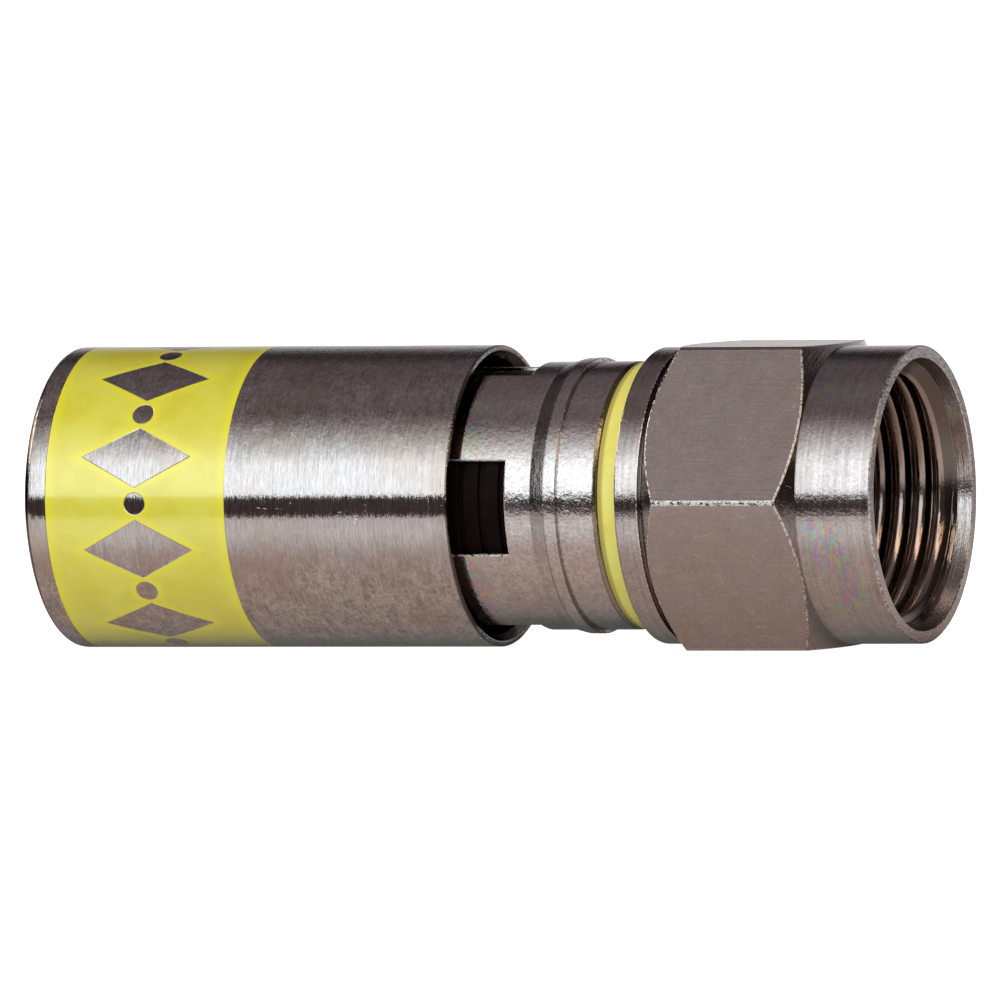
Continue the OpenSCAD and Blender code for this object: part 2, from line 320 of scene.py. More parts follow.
def nickelMarks(nodes, look, z, radius):
    # what marks the nickel, each from 0 to 1: long and short lines round the axis, grain, dents and so on,
    # and the edges' wear with painted glints and painted shade
    grain, dents, mottle = look["grainPerMm"], look["dentsPerMm"], look["mottlePerMm"]
    marks = {
        "lines": nodes.noise(look["linesPerMm"], 0.12, rough=0.65),
        "combing": nodes.noise(*spotsPerMm["combing"], rough=0.6, shift=4.0),
        "grain": nodes.noise(grain, grain, rough=0.7, shift=9.0),
        "dents": nodes.noise(dents, dents, detail=4.0, rough=0.6, shift=17.0),
        "mottle": nodes.noise(mottle, 0.8 * mottle, detail=6.0, rough=0.68, shift=2.0),
        "stains": nodes.noise(*spotsPerMm["stains"], detail=5.0, rough=0.6, shift=12.0),
        "milled": nodes.add("Attribute", {"attribute_name": "milled"}, {}, output="Fac"),
        "milling": nodes.noise(*spotsPerMm["milling"], detail=4.0, rough=0.7, shift=21.0),
    }
    marks["turned"] = 1 - marks["milled"]
    # a sleeve is smoother in front, where fingers polish it
    marks["unpolished"] = 1 - look["polish"] * (1 - abs(z).ramp(*polishFades))
    marks["inner"] = 1 - radius.ramp(look["bore"] - 0.05, look["bore"] + 0.05)
    edge = nodes.add("Attribute", {"attribute_name": "wear"}, {}, output="Fac")
    # edges with much wear get wear and a painted glint, fewer below the axis; edges with little wear get
    # painted shade instead
    rubbed = marks["grain"] + 0.26 * edge - 0.07 * z.ramp(-0.5, -3.0)
    marks["wornGlint"] = edge.ramp(0.05, 0.2) * rubbed.ramp(0.62, 0.70)
    marks["edgeShade"] = (edge.ramp(0.05, 0.2) - edge.ramp(0.35, 0.45)) * (1 - marks["wornGlint"])
    # a scratch runs where a slow noise crosses its middle
    slow = nodes.noise(*spotsPerMm["scratches"], detail=1.0, shift=31.0)
    scratches = (1 - abs(slow - 0.5).ramp(0.0, 0.0035)) * marks["mottle"].ramp(0.55, 0.60)
    marks["scratches"] = scratches * (1 - 0.9 * marks["inner"])
    return marks


def nickelFilm(nodes, look, marks, x, y, z):
    # the plating's thin film shows pink, green and blue, in patches and in a few specks
    shown = look["filmSpecks"] * marks["dents"].ramp(0.60, 0.72) * marks["grain"].ramp(0.48, 0.62)
    shown = x.maths("MAXIMUM", shown, 0.2 * marks["milled"] * marks["dents"].ramp(0.5, 0.65))
    for low, high, turn, width in look["filmPatches"]:
        side = math.radians(turn)
        facing = (z * math.sin(side) - y * math.cos(side)) * (1 / filmRadius)
        patch = x.ramp(low - 0.5, low + 0.4) * (1 - x.ramp(high - 0.4, high + 0.5))
        patch = patch * facing.ramp(math.cos(math.radians(width)), 1.0) * marks["dents"].ramp(0.36, 0.56)
        shown = x.maths("MAXIMUM", shown, look["film"] * patch)
    hue = nodes.noise(look["filmPerMm"], 0.6, detail=4.0, rough=0.6, shift=6.0) * 5 + x * 0.5 + z * 0.25
    rainbow = nodes.add("CombineColor", {"mode": "HSV"}, {0: x.maths("FRACT", hue), 1: 0.5, 2: 0.6})
    return shown, rainbow


def nickelColour(nodes, look, marks, film, x, z, radius):
    light = (
        0.5
        + look["mottle"] * marks["unpolished"] * (marks["mottle"] - 0.5)
        + look["speckle"] * marks["unpolished"] * (marks["grain"] - 0.5)
        + look["dents"] * marks["unpolished"] * (marks["dents"] - 0.5)
        + look["streaks"] * marks["turned"] * (marks["lines"] - 0.5)
        + look["combing"] * marks["turned"] * (marks["combing"] - 0.5)
        + 0.7 * marks["milled"] * (marks["milling"] - 0.5)
    )
    dark, pale = (tuple(share * part for part in look["colour"]) for share in (0.6, 1.4))
    colour = nodes.mix(light, (*dark, 1), (*pale, 1))
    colour = nodes.mix(look["stains"] * marks["stains"].ramp(0.45, 0.7), colour, nickelTints["stain"])
    # painted shade on the flats below the axis, painted light on those above it
    cut = nodes.mix(z.ramp(-0.5, 0.5), nickelTints["cutBelowShaded"], nickelTints["cutAboveLit"])
    colour = nodes.mix(0.5 * marks["milled"], colour, cut)
    shown, rainbow = film
    colour = nodes.mix(shown, colour, rainbow)
    colour = nodes.mix(0.45 * marks["grain"].ramp(0.64, 0.76), colour, nickelTints["copper"])
    # the bore's tarnish, and painted shade deep inside it
    colour = nodes.mix(0.8 * marks["inner"], colour, (*look["boreTarnishShade"], 1))
    # mostly painted shade in hollows and on faces that reflect dark; on the body's front edge a painted
    # reflection of the yellow ring, and on the nut a darker, browner front face
    for low, high, out, above, below, tint in look["shadesAndTints"]:
        part = x.ramp(low - 0.03, low + 0.01) * (1 - x.ramp(high - 0.01, high + 0.03))
        part = part * (1 - radius.ramp(out - 0.02, out + 0.02)) * marks["turned"]
        colour = nodes.mix(part * (below + (above - below) * z.ramp(-3.0, 0.5)), colour, (*tint, 1))
    # painted shade on the narrow edges that aren't worn
    colour = nodes.mix(0.7 * marks["edgeShade"], colour, nickelTints["edgeShade"])
    # wear, with a painted glint on worn edges
    colour = nodes.mix(0.8 * marks["wornGlint"], colour, nickelTints["wornGlint"])
    return nodes.mix(0.7 * marks["scratches"], colour, nickelTints["scratch"])


def nickelSurface(nodes, look):
    # colour, roughness and relief of nickel that is turned, or milled on the nut's flats
    x, y, z = (nodes.axis(letter) * (1 / mm) for letter in "XYZ")
    radius = x.maths("SQRT", y * y + z * z)
    marks = nickelMarks(nodes, look, z, radius)
    film = nickelFilm(nodes, look, marks, x, y, z)
    colour = nickelColour(nodes, look, marks, film, x, z, radius)
    roughness = (
        look["roughness"]
        + look["roughnessSpread"] * (marks["combing"] - 0.5 + 0.5 * (marks["lines"] - 0.5))
        + 0.8 * look["roughnessSpread"] * (marks["mottle"] - 0.5)
        + 0.13 * marks["milled"]
        + 0.06 * marks["inner"]
        + 0.36 * marks["wornGlint"]
    )
    # heights are in thousandths of a millimetre
    spots = look["grainDepth"] * marks["grain"] + look["dentDepth"] * marks["dents"]
    height = (
        look["lineDepth"] * marks["turned"] * marks["lines"]
        + look["combDepth"] * marks["turned"] * marks["combing"]
        + (1 - 0.7 * marks["milled"]) * marks["unpolished"] * spots
        + 2.0 * marks["milled"] * marks["milling"]
        - 1.5 * marks["scratches"]
    )
    height = height * (1 - 0.5 * marks["inner"])
    relief = nodes.add("Bump", {}, {"Strength": 1.0, "Distance": 0.001 * mm, "Height": height})
    return colour, roughness, relief


def nickel(name, look):
    material, nodes = newFinish(name)
    colour, roughness, relief = nickelSurface(nodes, look)
    surface = nodes.add(
        "BsdfPrincipled",
        {},
        {"Base Color": colour, "Metallic": 1.0, "Roughness": roughness, "Normal": relief},
    )
    nodes.add("OutputMaterial", {}, {"Surface": surface})
    return material


nut = {
    "rear": -3.43,
    "front": 6.60,
    "collarRadius": 5.45,
    "collarFront": -2.50,
    "grooveRadius": 5.15,
    "hexRear": -2.36,
    "hexFront": 3.68,
    "flat": 5.555,
    "crestRadius": 6.42,  # before the corners are rounded down to 6.365
    "rearChamfer": 40,  # degrees from the face
    "frontChamfer": 28,
    "cornerRounding": 0.113,
    "cornerProfile": 0.3,  # 0.5 would be round
    # the rounded corners on the camera's side get wear and a painted glint, the others hardly any
    "nearCornerWearGlint": 0.75,
    "cornerWearGlint": 0.02,
    "barrelRadius": 5.46,
    "mouthRadius": 5.0,
    "mouthEdge": 0.03,
    "mouthRear": 6.05,
    "mouthRearRadius": 4.873,
    "seam": 0.02,  # along the axis, between the mouth and the wound thread, which are bridged
    "lipRadius": 3.53,
    "lipFront": -2.34,
    "reliefRadius": 4.8425,
    "threadRear": 0.0,
    "threadMinor": 4.37,
    "threadMajor": 4.7625,
    "rootRounding": 0.02,
    "crestRounding": 0.03,
    "crestFrontRounding": 0.19,
    "pitch": 0.79375,  # 32 turns to the inch, right-handed
    "leadIn": 5.547,  # where the 45 degree cone in front of the thread ends
    "steps": 192,
    "rimMerge": 0.012,  # corners of a flat's rim nearer to each other than this become one
    "edge": 0.06,
    # wear on the nut's front edge and on the collar's front edge, which paints glints on them
    "frontEdgeWearGlint": 0.8,
    "collarEdgeWearGlint": 0.5,
    "frontArcs": (0.05, 0.75),  # the flats' curved edges: width, and how worn, which paints glints on them
    "rearArcs": (0.035, 0.55),
}
nutLook = {
    "colour": (0.50, 0.445, 0.42),
    "roughness": 0.075,
    "roughnessSpread": 0.14,
    "linesPerMm": 7.0,
    "lineDepth": 8.0,
    "combDepth": 8.0,
    "grainPerMm": 10.0,
    "grainDepth": 6.0,
    "dentsPerMm": 4.5,
    "dentDepth": 4.0,
    "mottlePerMm": 1.6,
    "mottle": 0.7,
    "speckle": 1.1,
    "dents": 0.4,
    "streaks": 1.1,
    "combing": 0.5,
    "polish": 0.0,
    "stains": 0.35,
    "film": 0.65,
    "filmPerMm": 1.9,
    # from and to along the axis, middle and half width round it in degrees
    "filmPatches": [(4.0, 5.5, -17, 15), (4.6, 5.9, -42, 19), (3.9, 4.9, 60, 26)],
    "filmSpecks": 0.45,
    # from and to along the axis, up to which radius, share above and below, and colour:
    # painted shade in the groove by the collar and on the rear chamfer, and on the front chamfer; a
    # darker, browner front face; painted shade on the lead-in
    "shadesAndTints": [
        (-2.52, -1.55, 9.0, 0.4, 0.2, (0.13, 0.10, 0.085)),
        (3.15, 3.72, 9.0, 0.4, 0.4, (0.16, 0.12, 0.10)),
        (6.57, 9.0, 9.0, 0.8, 0.8, (0.27, 0.21, 0.185)),
        (5.70, 6.05, 4.87, 0.8, 0.5, (0.10, 0.08, 0.07)),
    ],
    "bore": 4.83,
    # tarnish, darkened into painted shade deep in the bore
    "boreTarnishShade": (0.36, 0.27, 0.225),
}


def addThread(shape):
    # the thread's ridge, wound round the bore, trimmed at both ends and joined to the open bore
    pitch, low, high = nut["pitch"], nut["threadMinor"], nut["threadMajor"]
    flank = (high - low) / math.sqrt(3)
    root = pitch / 16
    corners = [
        (0, high),
        (root, high, nut["rootRounding"]),
        (root + flank, low, nut["crestRounding"]),
        (pitch - root - flank, low, nut["crestFrontRounding"]),
        (pitch - root, high, nut["rootRounding"]),
        (pitch, high),
    ]
    turns = math.ceil(nut["mouthRear"] / pitch) + 2
    thread = bmesh.new()
    drawOutline(thread, [(corner[0] - 2 * pitch, *corner[1:]) for corner in corners], 0, closed=False)
    slopes = [edge for edge in thread.edges if edge.calc_length() > wideRounding * mm]
    bmesh.ops.subdivide_edges(thread, edges=slopes, cuts=3)
    bmesh.ops.spin(
        thread,
        geom=thread.verts[:] + thread.edges[:],
        cent=(0, 0, 0),
        axis=(1, 0, 0),
        dvec=(pitch * mm / nut["steps"], 0, 0),
        angle=math.tau,
        steps=nut["steps"],
    )
    turn = thread.verts[:] + thread.edges[:] + thread.faces[:]
    for i in range(1, turns):
        copy = bmesh.ops.duplicate(thread, geom=turn)["geom"]
        moved = [item for item in copy if isinstance(item, bmesh.types.BMVert)]
        bmesh.ops.translate(thread, verts=moved, vec=(i * pitch * mm, 0, 0))
    bmesh.ops.remove_doubles(thread, verts=thread.verts, dist=mergeDistance * mm)
    for end, outwards in ((nut["threadRear"], -1), (nut["mouthRear"], 1)):
        bmesh.ops.bisect_plane(
            thread,
            geom=thread.verts[:] + thread.edges[:] + thread.faces[:],
            dist=1e-8,
            plane_co=(end * mm, 0, 0),
            plane_no=(outwards, 0, 0),
            clear_outer=True,
        )
    for vert in thread.verts:
        # the lead-in cone cuts the front turns down
        cone = low * mm + max(0.0, vert.co.x - nut["leadIn"] * mm)
        out = vert.co.yz.length
        if out < cone:
            vert.co.yz *= cone / out
    wound = bpy.data.meshes.new("Wound thread")
    thread.to_mesh(wound)
    thread.free()
    shape.from_mesh(wound)
    bpy.data.meshes.remove(wound)
    openEdges = [edge for edge in shape.edges if edge.is_boundary]
    for end in (nut["threadRear"], nut["mouthRear"]):
        rims = [edge for edge in openEdges if abs(edge.verts[0].co.x - end * mm) < 0.1 * mm]
        bmesh.ops.bridge_loops(shape, edges=rims)


def millFlats(shape):
    milled = shape.faces.layers.float.new("milled")
    for i in range(6):
        normal = radial(30 + 60 * i)
        bmesh.ops.bisect_plane(
            shape,
            geom=shape.verts[:] + shape.edges[:] + shape.faces[:],
            dist=1e-7,
            plane_co=nut["flat"] * mm * normal,
            plane_no=normal,
            clear_outer=True,
        )
        rim = {vert for edge in shape.edges if edge.is_boundary for vert in edge.verts}
        bmesh.ops.remove_doubles(shape, verts=list(rim), dist=nut["rimMerge"] * mm)
        hole = [edge for edge in shape.edges if edge.is_boundary]
        for face in bmesh.ops.edgeloop_fill(shape, edges=hole)["faces"]:
            face[milled] = 1.0
    bmesh.ops.recalc_face_normals(shape, faces=shape.faces)
    corners = [edge for edge in shape.edges if all(face[milled] for face in edge.link_faces)]
    near = [edge for edge in corners if edge.verts[0].co.y < -nut["flat"] * mm]  # the camera's side, whose corners get a painted glint
    others = [edge for edge in corners if edge not in near]
    for side, wornGlint in ((near, nut["nearCornerWearGlint"]), (others, nut["cornerWearGlint"])):
        softenEdges(shape, side, nut["cornerRounding"], 4, wornGlint, nut["cornerProfile"])
    wear = shape.faces.layers.float["wear"]
    # a flat has many corners, and the strips of the rounded corners have four
    flats = {face for face in shape.faces if len(face.verts) > 20 and face[milled]}
    arcs = []
    for edge in shape.edges:
        if not flats.isdisjoint(edge.link_faces) and not any(face[wear] for face in edge.link_faces):
            arcs.append(edge)
    middle = (nut["hexRear"] + nut["hexFront"]) / 2 * mm
    frontArcs = [edge for edge in arcs if edge.verts[0].co.x > middle]
    rearArcs = [edge for edge in arcs if edge.verts[0].co.x < middle]
    for side, (width, wornGlint) in ((frontArcs, nut["frontArcs"]), (rearArcs, nut["rearArcs"])):
        softenEdges(shape, side, width, wornGlint=wornGlint)
    for face in shape.faces:
        if face[wear]:
            face[milled] = 0.0


def makeNut():
    crest, edge = nut["crestRadius"], nut["edge"]
    rearRun = (crest - nut["collarRadius"]) * math.tan(math.radians(nut["rearChamfer"]))
    frontRun = (crest - nut["barrelRadius"]) * math.tan(math.radians(nut["frontChamfer"]))
    outline = [
        (nut["threadRear"], nut["reliefRadius"]),
        (nut["lipFront"], nut["reliefRadius"]),
        (nut["lipFront"], nut["lipRadius"], 0.05),
        (nut["rear"], nut["lipRadius"], 0.05),
        (nut["rear"], nut["collarRadius"], 0.06),
        (nut["collarFront"], nut["collarRadius"], 0.05),
        (nut["collarFront"], nut["grooveRadius"]),
        (nut["hexRear"], nut["grooveRadius"]),
        (nut["hexRear"], nut["collarRadius"]),
        (nut["hexRear"] + rearRun, crest),
        (nut["hexFront"] - frontRun, crest),
        (nut["hexFront"], nut["barrelRadius"]),
        (nut["front"] - edge, nut["barrelRadius"]),
        (nut["front"], nut["barrelRadius"] - edge),
        (nut["front"], nut["mouthRadius"] + nut["mouthEdge"]),
        (nut["front"] - nut["mouthEdge"], nut["mouthRadius"]),
        (nut["mouthRear"] + nut["seam"], nut["mouthRearRadius"]),
    ]
    shape = turned(outline, steps=nut["steps"], closed=False)
    addThread(shape)
    millFlats(shape)
    markWearShadeGlint(shape, nut["front"] - edge, nut["front"] + edge, nut["frontEdgeWearGlint"])
    markWearShadeGlint(shape, nut["collarFront"] - edge, nut["collarFront"] + 0.01, nut["collarEdgeWearGlint"])
    makePiece("CouplingNut", shape, nickel("Nut nickel", nutLook), "coupling_nut", "nut")


makeNut()

post = {
    "outline": [
        (-15.3, 2.45, 0.03),
        (-15.3, 2.65, 0.06),
        (-14.0, 3.1),
        (-13.85, 3.1, 0.03),
        (-13.85, 2.85),
        (-6.3, 2.85),
        (-6.3, 3.48),
        (-1.5, 3.48),
        (-1.5, 4.2, 0.06),
        (0, 4.2, 0.2),
        (0, 2.45, 0.2),
    ]
}
postLook = {**nutLook, "roughness": 0.2, "filmPatches": [], "filmSpecks": 0.0, "shadesAndTints": [], "bore": 0.0}


def makePost():
    finish = nickel("Post nickel", postLook)
    makePiece("InnerPost", turned(post["outline"]), finish, "inner_post", "body")


makePost()

rubber = {
    "colour": (0.018, 0.018, 0.019, 1),
    "dust": (0.045, 0.044, 0.042, 1),
    "roughness": 0.55,
    "postRing": (-1.92, 3.90, 0.4),  # place along the axis, and radius of the ring and of its section
    "cableRing": (-24.80, 4.43, 0.5),
}


def makeRubberRings():
    material, nodes = newFinish("Black rubber")
    dust = nodes.noise(2.0, 2.0, detail=4.0)
    pores = nodes.noise(14.0, 14.0, detail=2.0, shift=3.0)
    surface = nodes.add(
        "BsdfPrincipled",
        {},
        {
            "Base Color": nodes.mix(dust.ramp(0.45, 0.8), rubber["colour"], rubber["dust"]),
            "Roughness": rubber["roughness"] + 0.2 * (dust - 0.5),
            "Normal": nodes.add("Bump", {}, {"Strength": 1.0, "Distance": 0.004 * mm, "Height": pores}),
        },
    )
    nodes.add("OutputMaterial", {}, {"Surface": surface})
    postRing, cableRing = ringOf(*rubber["postRing"]), ringOf(*rubber["cableRing"])
    makePiece("PostRubberRing", postRing, material, "post_o_ring", "body")
    makePiece("CableRubberRing", cableRing, material, "cable_seal", "sleeve")


makeRubberRings()

sealRing = {
    "outline": [
        (-4.30, 4.12),
        (-4.30, 4.90, 0.06),
        (-3.48, 5.04, 0.06),
        (-3.48, 4.12),
    ],
    "colour": (0.80, 0.71, 0.15, 1),
    "shade": (0.72, 0.60, 0.08, 1),
    # painted shade on the ring's rear side
    "rear": (0.40, 0.30, 0.06, 1),
    "rearShadeShown": (-4.02, -4.16),  # from where to where the rear's painted shade comes in
}


def makeSealRing():
    material, nodes = newFinish("Yellow rubber")
    patches = nodes.noise(0.8, 0.8, detail=4.0)
    pores = nodes.noise(16.0, 9.0, detail=2.0, shift=5.0)
    # the ring's rear side gets painted shade
    rear = 0.9 * (nodes.axis("X") * (1 / mm)).ramp(*sealRing["rearShadeShown"])
    colour = nodes.mix(patches.ramp(0.45, 0.8), sealRing["colour"], sealRing["shade"])
    surface = nodes.add(
        "BsdfPrincipled",
        {},
        {
            "Base Color": nodes.mix(rear, colour, sealRing["rear"]),
            "Roughness": 0.42 + 0.2 * (patches - 0.5),
            "Normal": nodes.add("Bump", {}, {"Strength": 1.0, "Distance": 0.003 * mm, "Height": pores}),
        },
    )
    nodes.add("OutputMaterial", {}, {"Surface": surface})
    shape = turned(sealRing["outline"])
    makePiece("NutSealRing", shape, material, "nut_seal_ring", "body")


makeSealRing()

body = {
    "windowRear": -12.17,
    "windowFront": -7.97,
    "windowCentre": -2.8,  # degrees from the camera's side, a little below the level
    "windowWidth": 41,  # degrees
    "tubeRadius": 4.93,
    "landRadius": 5.07,
    "boreRadius": 4.62,
    "windowEdge": 0.06,
}
body["outline"] = [
    (-16.3, body["tubeRadius"], 0.08),
    (-16.16, body["landRadius"], 0.05),
    (-13.44, body["landRadius"], 0.05),
    (-13.3, body["tubeRadius"]),
    (body["windowRear"], body["tubeRadius"]),
    (body["windowFront"], body["tubeRadius"]),
    (-6.92, body["tubeRadius"]),
    (-6.37, body["landRadius"], 0.03),
    (-5.89, body["landRadius"], 0.03),
    (-5.89, body["tubeRadius"]),
    (-4.47, body["tubeRadius"], 0.03),
    (-4.30, 4.76),
    (-4.30, 4.10),
    (-3.50, 4.10),
    (-3.50, 3.50),
    (-6.3, 3.50),
    (-6.3, 4.22),
    (-7.5, 4.22),
    (-7.5, body["boreRadius"]),
    (body["windowFront"], body["boreRadius"]),
    (body["windowRear"], body["boreRadius"]),
    (-16.3, body["boreRadius"]),
]
bodyLook = {
    "colour": (0.61, 0.555, 0.525),
    "roughness": 0.085,
    "roughnessSpread": 0.14,
    "linesPerMm": 9.0,
    "lineDepth": 2.5,
    "combDepth": 2.0,
    "grainPerMm": 9.0,
    "grainDepth": 6.0,
    "dentsPerMm": 4.6,
    "dentDepth": 14.0,
    "mottlePerMm": 1.6,
    "mottle": 0.6,
    "speckle": 1.2,
    "dents": 0.9,
    "streaks": 0.3,
    "combing": 0.3,
    "polish": 0.0,
    "stains": 0.25,
    "film": 0.95,
    "filmPerMm": 0.8,
    "filmPatches": [(-9.6, -9.1, -42, 48), (-9.6, -9.1, 40, 42)],
    "filmSpecks": 0.35,
    # a painted reflection of the yellow ring, in shade, on the front edge; painted shade on the slope
    # behind the front land above the axis, and on the tube by the sleeve's mouth
    "shadesAndTints": [
        (-4.46, -4.2, 9.0, 0.75, 0.4, (0.20, 0.15, 0.03)),
        (-6.93, -6.40, 9.0, 0.75, 0.0, (0.11, 0.09, 0.08)),
        (-10.6, -9.73, 9.0, 0.95, 0.5, (0.04, 0.025, 0.02)),
    ],
    "bore": 4.7,
    "boreTarnishShade": (0.40, 0.29, 0.22),
}


def angleOf(place):
    return math.degrees(math.atan2(place.z, -place.y))


def inWindow(place):
    # whether a place lies in one of the four windows, which are a quarter turn apart
    turn = (angleOf(place) - body["windowCentre"] + 45) % 90 - 45
    return (
        abs(turn) < body["windowWidth"] / 2
        and body["windowRear"] < place.x / mm < body["windowFront"]
    )


def cutWindows(shape):
    patches = [face for face in shape.faces if inWindow(face.calc_center_median())]
    bmesh.ops.delete(shape, geom=patches, context="FACES")
    rims = [edge for edge in shape.edges if edge.is_boundary]
    outerRims = []
    middleRadius = (body["boreRadius"] + body["tubeRadius"]) / 2 * mm
    for i in range(4):
        centre = radial(body["windowCentre"] + 90 * i)
        loops = [edge for edge in rims if edge.verts[0].co.dot(centre) > body["boreRadius"] / 2 * mm]
        bmesh.ops.bridge_loops(shape, edges=loops)
        outerRims += [edge for edge in loops if edge.verts[0].co.yz.length > middleRadius]
    bmesh.ops.recalc_face_normals(shape, faces=shape.faces)
    softenEdges(shape, outerRims, body["windowEdge"])


def makeBody():
    # one step of the turning is a degree, so the windows' edges fall on steps
    shape = turned(body["outline"], steps=360, start=body["windowCentre"] + body["windowWidth"] / 2)
    cutWindows(shape)
    finish = nickel("Body nickel", bodyLook)
    makePiece("ConnectorBody", shape, finish, "connector_body", "body")


makeBody()

ferrule = {
    "front": -7.52,
    "radius": 4.60,
    "bore": 4.0,
    "groovePitch": 0.8,
    "grooveWidth": 0.22,
    "grooveDepth": 0.14,
    "grooveCount": 7,
    "rimFront": -16.32,
    "rimRear": -16.62,
    "rimRadius": 4.93,
    "tip": -17.711,
    "tipRadius": 4.3,
    "teeth": -14.0,
    "toothPitch": 1.1,
    "toothHeight": 0.2,
    "toothCount": 3,
    "colour": (0.005, 0.0016, 0.0009, 1),
    "sheen": (0.010, 0.004, 0.0026, 1),
}


def makeFerrule():
    outside = [(ferrule["front"], ferrule["radius"], 0.05)]
    for i in range(1, ferrule["grooveCount"] + 1):
        rear = ferrule["front"] - i * ferrule["groovePitch"]
        front = rear + ferrule["grooveWidth"]
        low = ferrule["radius"] - ferrule["grooveDepth"]
        outside += [(front, ferrule["radius"], 0.03), (front, low)]
        outside += [(rear, low), (rear, ferrule["radius"], 0.03)]
    outside += [
        (ferrule["rimFront"], ferrule["radius"]),
        (ferrule["rimFront"], ferrule["rimRadius"], 0.03),
        (ferrule["rimRear"], ferrule["rimRadius"], 0.03),
        (ferrule["tip"], ferrule["tipRadius"], 0.03),
        (ferrule["tip"], ferrule["bore"], 0.03),
    ]
    inside = []
    for i in range(ferrule["toothCount"]):
        foot = ferrule["teeth"] + i * ferrule["toothPitch"]
        top = foot + 2 * ferrule["toothHeight"]
        inside += [(foot, ferrule["bore"]), (top, ferrule["bore"] - ferrule["toothHeight"])]
        inside.append((top, ferrule["bore"]))
    inside.append((ferrule["front"], ferrule["bore"], 0.05))
    material, nodes = newFinish("Black plastic")
    sheen = nodes.noise(1.5, 1.5, detail=4.0)
    pores = nodes.noise(10.0, 10.0, detail=2.0, shift=3.0)
    surface = nodes.add(
        "BsdfPrincipled",
        {},
        {
            "Base Color": nodes.mix(sheen.ramp(0.4, 0.8), ferrule["colour"], ferrule["sheen"]),
            "Specular IOR Level": 0.05,
            "Roughness": 0.45 + 0.25 * (sheen - 0.5),
            "Normal": nodes.add("Bump", {}, {"Strength": 1.0, "Distance": 0.003 * mm, "Height": pores}),
        },
    )
    nodes.add("OutputMaterial", {}, {"Surface": surface})
    makePiece("GripFerrule", turned(outside + inside), material, "grip_ferrule", "body")


makeFerrule()

sleeve = {
    "rear": -26.82,
    "mouth": -9.97,
    "radius": 5.55,
    "recessRear": -25.91,
    "recessFront": -18.78,
    "recessRadius": 5.49,
    "mouthBevel": (0.3, 0.23),  # along the axis and across it
    "slideRadius": 5.12,
    "rampFront": -21.9,
    "throatFront": -23.32,
    "throatRadius": 4.3,
    "sealFront": -24.28,
    "sealRear": -25.32,
    "sealRadius": 4.95,
    "entryRadius": 4.0,
    "entryBevel": 0.4,
    "rearWearShadeGlintEnd": -26.4,  # the rounding behind this gets no wear, no painted glint and no painted shade
}
sleeve["outline"] = [
    (sleeve["rear"], sleeve["entryRadius"] + sleeve["entryBevel"], 0.05),
    (sleeve["rear"], sleeve["radius"], 0.35),
    (sleeve["recessRear"], sleeve["radius"]),
    (sleeve["recessRear"], sleeve["recessRadius"]),
    (sleeve["recessFront"], sleeve["recessRadius"]),
    (sleeve["recessFront"], sleeve["radius"]),
    (sleeve["mouth"], sleeve["radius"], 0.06),
    (sleeve["mouth"], sleeve["slideRadius"] + sleeve["mouthBevel"][1], 0.03),
    (sleeve["mouth"] - sleeve["mouthBevel"][0], sleeve["slideRadius"]),
    (sleeve["rampFront"], sleeve["slideRadius"]),
    (sleeve["throatFront"], sleeve["throatRadius"]),
    (sleeve["sealFront"], sleeve["throatRadius"]),
    (sleeve["sealFront"], sleeve["sealRadius"]),
    (sleeve["sealRear"], sleeve["sealRadius"]),
    (sleeve["sealRear"], sleeve["entryRadius"]),
    (sleeve["rear"] + sleeve["entryBevel"], sleeve["entryRadius"]),
]
sleeveLook = {
    "colour": (0.515, 0.47, 0.445),
    "roughness": 0.075,
    "roughnessSpread": 0.2,
    "linesPerMm": 11.0,
    "lineDepth": 8.0,
    "combDepth": 12.0,
    "grainPerMm": 12.0,
    "grainDepth": 6.0,
    "dentsPerMm": 5.0,
    "dentDepth": 9.0,
    "mottlePerMm": 2.0,
    "mottle": 1.7,
    "speckle": 1.7,
    "dents": 1.3,
    "streaks": 0.6,
    "combing": 1.3,
    "polish": 0.85,
    "stains": 0.6,
    "filmPerMm": 0.4,
    "filmPatches": [],
    "filmSpecks": 0.12,
    # painted shade at the mouth and on the rear rounding
    "shadesAndTints": [
        (-10.03, -9.0, 9.0, 0.8, 0.6, (0.08, 0.06, 0.05)),
        (-27.0, -26.62, 9.0, 0.9, 0.9, (0.04, 0.03, 0.03)),
    ],
    "bore": 5.3,
    # the bore's tarnish, darkened here into painted shade
    "boreTarnishShade": (0.10, 0.07, 0.05),
}


def makeSleeve():
    shape = turned(sleeve["outline"])
    markWearShadeGlint(shape, sleeve["rear"] - 1, sleeve["rearWearShadeGlintEnd"], 0.0)
    finish = nickel("Sleeve nickel", sleeveLook)
    makePiece("CompressionSleeve", shape, finish, "compression_sleeve", "sleeve")


makeSleeve()

band = {
    "rear": sleeve["recessRear"],
    "front": sleeve["recessFront"],
    "under": sleeve["recessRadius"],
    "over": sleeve["radius"],
    "colour": (0.75, 0.67, 0.06, 1),
    "shade": (0.71, 0.61, 0.03, 1),
    "rim": (0.84, 0.74, 0.008, 1),  # beside the bare shapes and along the band's ends
    "metallic": 0.08,
    "roughness": 0.3,
    "coatRoughness": 0.14,
    "coatIor": 1.8,
    "depth": 0.02,  # how far the bare metal lies under the lacquer
    "waves": 0.35,  # of the depth
    "lozenges": 10,  # round the sleeve, with a dot between each two
    "lozengeLength": 4.3,
    "lozengeWidth": 2.3,
    "dotRadius": 0.42,
}


